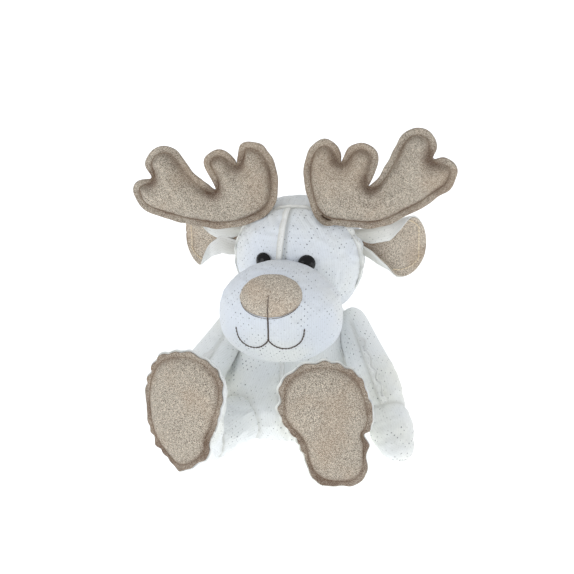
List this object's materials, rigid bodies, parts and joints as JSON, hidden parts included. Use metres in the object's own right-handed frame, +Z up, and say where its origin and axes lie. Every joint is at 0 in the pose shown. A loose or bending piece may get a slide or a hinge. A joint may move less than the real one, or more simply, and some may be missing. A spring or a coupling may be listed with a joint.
{
  "type": "plush deer",
  "caption": "Sitting stuffed deer in white foil-dot jersey with soft glitter cloth antlers, ears, nose and foot soles, an embroidered mouth and glossy safety eyes.",
  "frame": {"origin": "middle of the flat seat, on the surface that the deer sits on", "axes": "+Z up; the deer looks along -Y and its left side is on +X"},
  "size_m": [0.2236, 0.1773, 0.2158],
  "materials": {
    "white_jersey": "fine ribbed knit with small foil dots",
    "champagne_glitter": "fine glitter",
    "eye_gloss": "high gloss",
    "fibre_fill": "loose fibre",
    "pellet_fill": "bagged pellets",
    "mouth_thread": "embroidery thread",
    "washer_plastic": "matt"
  },
  "bodies": {
    "torso": {"body_back": "white_jersey", "body_front_left": "white_jersey", "body_front_right": "white_jersey", "body_stuffing": "fibre_fill", "pellet_bag": "pellet_fill"},
    "head": {"head_back": "white_jersey", "head_front_left": "white_jersey", "head_front_right": "white_jersey", "head_stuffing": "fibre_fill", "muzzle_cover": "white_jersey", "muzzle_stuffing": "fibre_fill", "nose_patch": "champagne_glitter", "mouth_thread": "mouth_thread", "eye_left": "eye_gloss", "eye_right": "eye_gloss", "eye_washer_left": "washer_plastic", "eye_washer_right": "washer_plastic"},
    "antler_left": {"antler_front_left": "champagne_glitter", "antler_back_left": "champagne_glitter", "antler_stuffing_left": "fibre_fill"},
    "ear_left": {"ear_lining_left": "champagne_glitter", "ear_backing_left": "white_jersey"},
    "arm_left": {"arm_cover_left": "white_jersey", "hand_cover_left": "white_jersey", "arm_stuffing_left": "fibre_fill"},
    "leg_left": {"leg_cover_left": "white_jersey", "foot_cover_left": "white_jersey", "sole_left": "champagne_glitter", "leg_stuffing_left": "fibre_fill"},
    "antler_right": {"antler_front_right": "champagne_glitter", "antler_back_right": "champagne_glitter", "antler_stuffing_right": "fibre_fill"},
    "ear_right": {"ear_lining_right": "champagne_glitter", "ear_backing_right": "white_jersey"},
    "arm_right": {"arm_cover_right": "white_jersey", "hand_cover_right": "white_jersey", "arm_stuffing_right": "fibre_fill"},
    "leg_right": {"leg_cover_right": "white_jersey", "foot_cover_right": "white_jersey", "sole_right": "champagne_glitter", "leg_stuffing_right": "fibre_fill"}
  },
  "joints": [
    {"name": "head_turn", "type": "hinge", "parent": "torso", "child": "head", "pos_m": [0.004, 0, 0.086], "axis": [0, 0, 1], "range_deg": [-25, 25], "stiffness_Nm_per_rad": 0.05},
    {"name": "shoulder_left", "type": "hinge", "parent": "torso", "child": "arm_left", "pos_m": [0.04, 0, 0.075], "axis": [-0.1191, -0.6753, 0.7278], "range_deg": [0, 45]},
    {"name": "hip_left", "type": "hinge", "parent": "torso", "child": "leg_left", "pos_m": [0.02, -0.038, 0.0165], "axis": [-0.9272, -0.3746, 0], "range_deg": [-20, 20]},
    {"name": "antler_flop_left", "type": "hinge", "parent": "head", "child": "antler_left", "pos_m": [0.0334, -0.02, 0.14902], "axis": [1, 0, 0], "range_deg": [-6, 20], "stiffness_Nm_per_rad": 0.04},
    {"name": "ear_flop_left", "type": "hinge", "parent": "head", "child": "ear_left", "pos_m": [0.04422, 0.001, 0.13121], "axis": [0, -1, 0], "range_deg": [-25, 8], "stiffness_Nm_per_rad": 0.01},
    {"name": "shoulder_right", "type": "hinge", "parent": "torso", "child": "arm_right", "pos_m": [-0.04, 0, 0.075], "axis": [-0.1092, 0.6192, -0.7776], "range_deg": [0, 45]},
    {"name": "hip_right", "type": "hinge", "parent": "torso", "child": "leg_right", "pos_m": [-0.02, -0.038, 0.0165], "axis": [-0.9455, 0.3256, 0], "range_deg": [-20, 20]},
    {"name": "antler_flop_right", "type": "hinge", "parent": "head", "child": "antler_right", "pos_m": [-0.02259, -0.02, 0.14805], "axis": [1, 0, 0], "range_deg": [-6, 20], "stiffness_Nm_per_rad": 0.04},
    {"name": "ear_flop_right", "type": "hinge", "parent": "head", "child": "ear_right", "pos_m": [-0.03777, 0.001, 0.12978], "axis": [0, 1, 0], "range_deg": [-25, 8], "stiffness_Nm_per_rad": 0.01}
  ]
}
